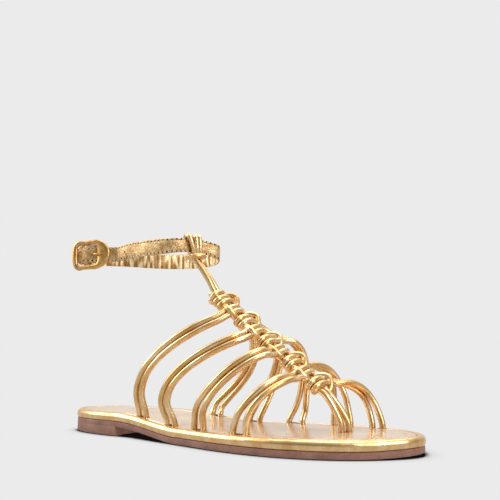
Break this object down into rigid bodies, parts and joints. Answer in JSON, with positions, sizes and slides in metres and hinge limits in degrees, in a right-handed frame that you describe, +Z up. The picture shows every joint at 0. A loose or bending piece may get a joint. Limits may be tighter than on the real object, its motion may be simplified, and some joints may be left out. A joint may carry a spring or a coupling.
{
  "type": "gladiator sandal",
  "caption": "Flat strappy sandal: paired leather cords run from the sole edge into a knotted instep braid with a toe post and a buckled ankle strap.",
  "frame": {"origin": "on the floor under the middle of the heel block, on its flat underside", "axes": "+X along the foot to the toe, +Y to the inner (medial) side, +Z up"},
  "size_m": [0.25, 0.0877, 0.1331],
  "materials": {
    "cord_leather": "metallic gold foil over soft leather, satin to glossy",
    "rim_leather": "metallic gold leather, satin, lightly creased",
    "footbed_leather": "pale pinkish gold leather, semi-gloss",
    "strap_leather": "pale gold leather, satin",
    "sole_rubber": "matte brown",
    "buckle_metal": "satin gold plate"
  },
  "bodies": {
    "root": {"outsole": "sole_rubber", "midsole": "rim_leather", "footbed": "footbed_leather", "upper": "cord_leather", "ankle_strap": "strap_leather", "buckle_frame": "buckle_metal", "buckle_prong": "buckle_metal"}
  },
  "joints": []
}
